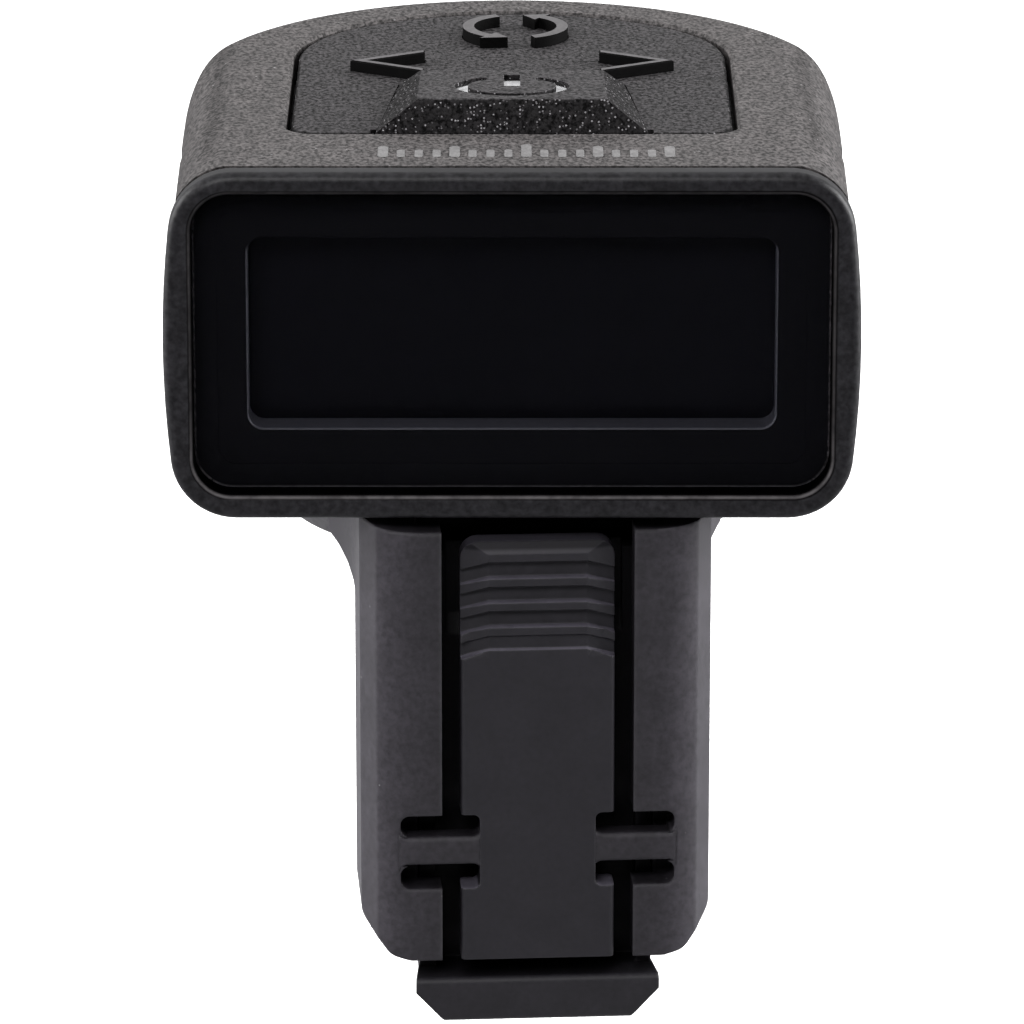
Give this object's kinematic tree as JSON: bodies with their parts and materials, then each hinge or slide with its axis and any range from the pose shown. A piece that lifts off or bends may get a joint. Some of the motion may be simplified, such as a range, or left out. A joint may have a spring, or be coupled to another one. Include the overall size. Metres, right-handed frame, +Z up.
{
  "type": "clip on tuner",
  "caption": "Compact clip-on instrument tuner: round-backed display head that swivels on a ratchet headstock clamp with a rocking release lever, top keypad and rear battery drawer.",
  "frame": {"origin": "on the head's swivel axis, in the plane of the fixed jaw pad's gripping face", "axes": "+Z up along the swivel axis, +X to the right seen from the display side, +Y from the clamp sleeve towards the open side of the jaws; the head rests turned 3.75 degrees clockwise seen from above"},
  "size_m": [0.0309, 0.0334, 0.0403],
  "materials": {
    "body_plastic": "fine spark-eroded texture",
    "base_plastic": "fine texture",
    "bezel_plastic": "satin",
    "window": "polished dark window",
    "mask_black": "matt black mask",
    "lcd_glass": "dark liquid-crystal glass",
    "diffuser_white": "translucent white",
    "flex_film": "amber film",
    "connector_plastic": "ivory plastic",
    "keypad_rubber": "matt with fine speckle",
    "light_guide": "translucent",
    "switch_stem": "plain",
    "switch_steel": "plain",
    "board": "green solder mask",
    "screw_steel": "zinc",
    "chip_black": "moulded",
    "chip_ceramic": "plain",
    "spring_steel": "nickel plated",
    "cell_steel": "satin",
    "brass": "plain",
    "piezo_ceramic": "silvered",
    "wire_red": "insulated wire",
    "washer_nylon": "natural nylon",
    "clamp_plastic": "satin",
    "jaw_plastic": "satin",
    "pad_rubber": "soft matt"
  },
  "bodies": {
    "clamp": {"clamp_frame": "clamp_plastic", "upper_jaw_pad": "pad_rubber", "swivel_friction_washer": "washer_nylon"},
    "head": {"head_shell": "body_plastic", "head_base": "base_plastic", "front_bezel": "bezel_plastic", "display_lens": "window", "lcd_frame": "mask_black", "lcd_panel": "lcd_glass", "lcd_backlight": "diffuser_white", "lcd_flex_ribbon": "flex_film", "lcd_connector": "connector_plastic", "keypad_membrane": "keypad_rubber", "tact_switches": "switch_steel", "power_led": "diffuser_white", "main_circuit_board": "board", "pcb_screws": "screw_steel", "microcontroller": "chip_black", "crystal": "switch_steel", "smd_components": "chip_ceramic", "battery_contact_positive": "spring_steel", "battery_contact_negative": "spring_steel", "piezo_disc": "brass", "piezo_ceramic": "piezo_ceramic", "piezo_wires": "wire_red", "case_screws": "screw_steel", "swivel_retaining_washer": "screw_steel", "swivel_screw": "screw_steel"},
    "power_button": {"power_key": "keypad_rubber", "power_light_guide": "light_guide", "power_switch_stem": "switch_stem"},
    "left_button": {"left_arrow_key": "keypad_rubber", "left_switch_stem": "switch_stem"},
    "right_button": {"right_arrow_key": "keypad_rubber", "right_switch_stem": "switch_stem"},
    "flip_button": {"flip_key": "keypad_rubber", "flip_switch_stem": "switch_stem"},
    "battery_drawer": {"battery_tray": "body_plastic", "coin_cell": "cell_steel"},
    "lever": {"release_lever": "clamp_plastic", "torsion_web_left": "clamp_plastic", "torsion_web_right": "clamp_plastic"},
    "jaw": {"sliding_jaw": "jaw_plastic", "lower_jaw_pad": "pad_rubber"}
  },
  "joints": [
    {"name": "head_swivel", "type": "hinge", "parent": "clamp", "child": "head", "pos_m": [0, 0, 0.0057], "axis": [0, 0, 1], "continuous": true},
    {"name": "jaw_slide", "type": "slide", "parent": "clamp", "child": "jaw", "axis": [0, 0, -1], "range_m": [0, 0.012]},
    {"name": "release_lever_rock", "type": "hinge", "parent": "clamp", "child": "lever", "pos_m": [0, -0.0168, -0.00979], "axis": [-1, 0, 0], "range_deg": [-3.4, 6]},
    {"name": "power_key_press", "type": "slide", "parent": "head", "child": "power_button", "axis": [0, 0, -1], "range_m": [0, 0.0003]},
    {"name": "left_key_press", "type": "slide", "parent": "head", "child": "left_button", "axis": [0, 0, -1], "range_m": [0, 0.0003]},
    {"name": "right_key_press", "type": "slide", "parent": "head", "child": "right_button", "axis": [0, 0, -1], "range_m": [0, 0.0003]},
    {"name": "flip_key_press", "type": "slide", "parent": "head", "child": "flip_button", "axis": [0, 0, -1], "range_m": [0, 0.0003]},
    {"name": "battery_drawer_slide", "type": "slide", "parent": "head", "child": "battery_drawer", "axis": [0.0654, 0.9979, 0], "range_m": [0, 0.022]}
  ]
}
